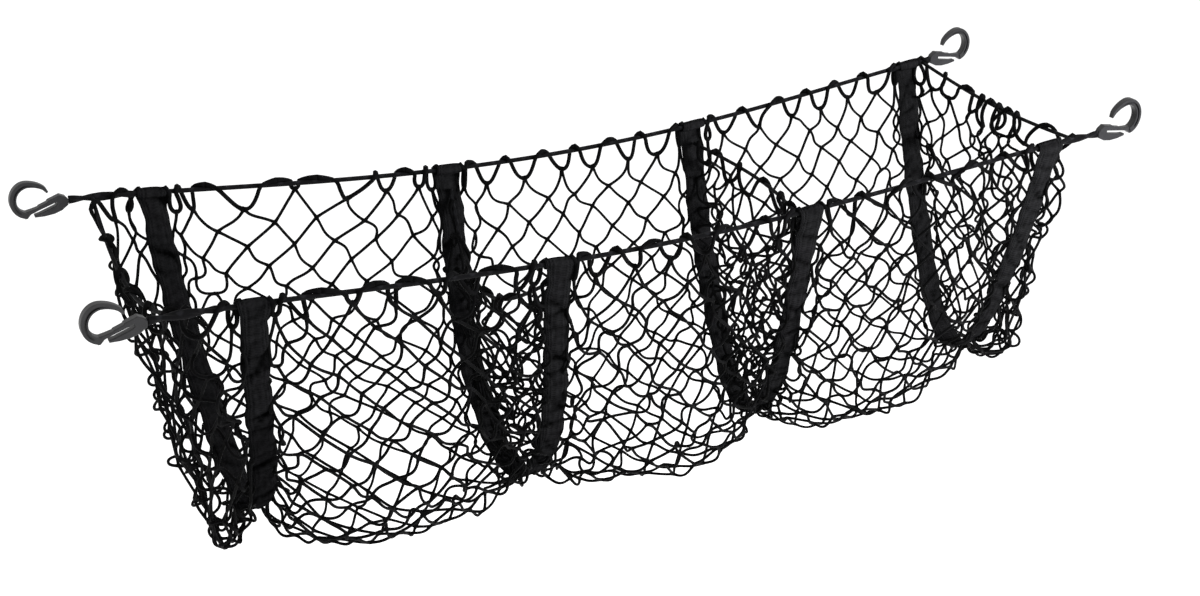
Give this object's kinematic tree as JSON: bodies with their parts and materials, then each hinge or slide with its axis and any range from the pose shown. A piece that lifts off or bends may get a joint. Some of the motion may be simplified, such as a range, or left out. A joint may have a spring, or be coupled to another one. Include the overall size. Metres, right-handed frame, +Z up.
{
  "type": "cargo net with pouches",
  "caption": "Black hanging cargo net: elastic cords with moulded hooks carry cloth sleeves and diamond netting that forms open pouches side by side.",
  "frame": {"origin": "middle of the four cord ends, halfway between the back and the front cord and level with the anchors", "axes": "+X along the main cords, from the left end to the right end; +Y from the front cord to the back cord; +Z up, against the way the pouches hang"},
  "size_m": [1.2004, 0.314, 0.4081],
  "materials": {
    "net_yarn": "matte braided polyester strand, knotted",
    "sleeve_cloth": "matte gathered woven cloth",
    "elastic_cord": "matte braided cover over elastic",
    "hook_plastic": "satin moulded nylon"
  },
  "bodies": {
    "root": {"cord_back": "elastic_cord", "cord_front": "elastic_cord", "sleeve_1": "sleeve_cloth", "sleeve_2": "sleeve_cloth", "sleeve_3": "sleeve_cloth", "sleeve_4": "sleeve_cloth", "net_bay_1": "net_yarn", "net_bay_2": "net_yarn", "net_bay_3": "net_yarn", "net_end_left": "net_yarn", "net_end_right": "net_yarn", "net_divider_2": "net_yarn", "net_divider_3": "net_yarn", "cross_cord_left": "elastic_cord", "cross_cord_right": "elastic_cord", "cross_cord_2": "elastic_cord", "cross_cord_3": "elastic_cord", "hook_back_left": "hook_plastic", "hook_back_right": "hook_plastic", "hook_front_left": "hook_plastic", "hook_front_right": "hook_plastic"}
  },
  "joints": []
}
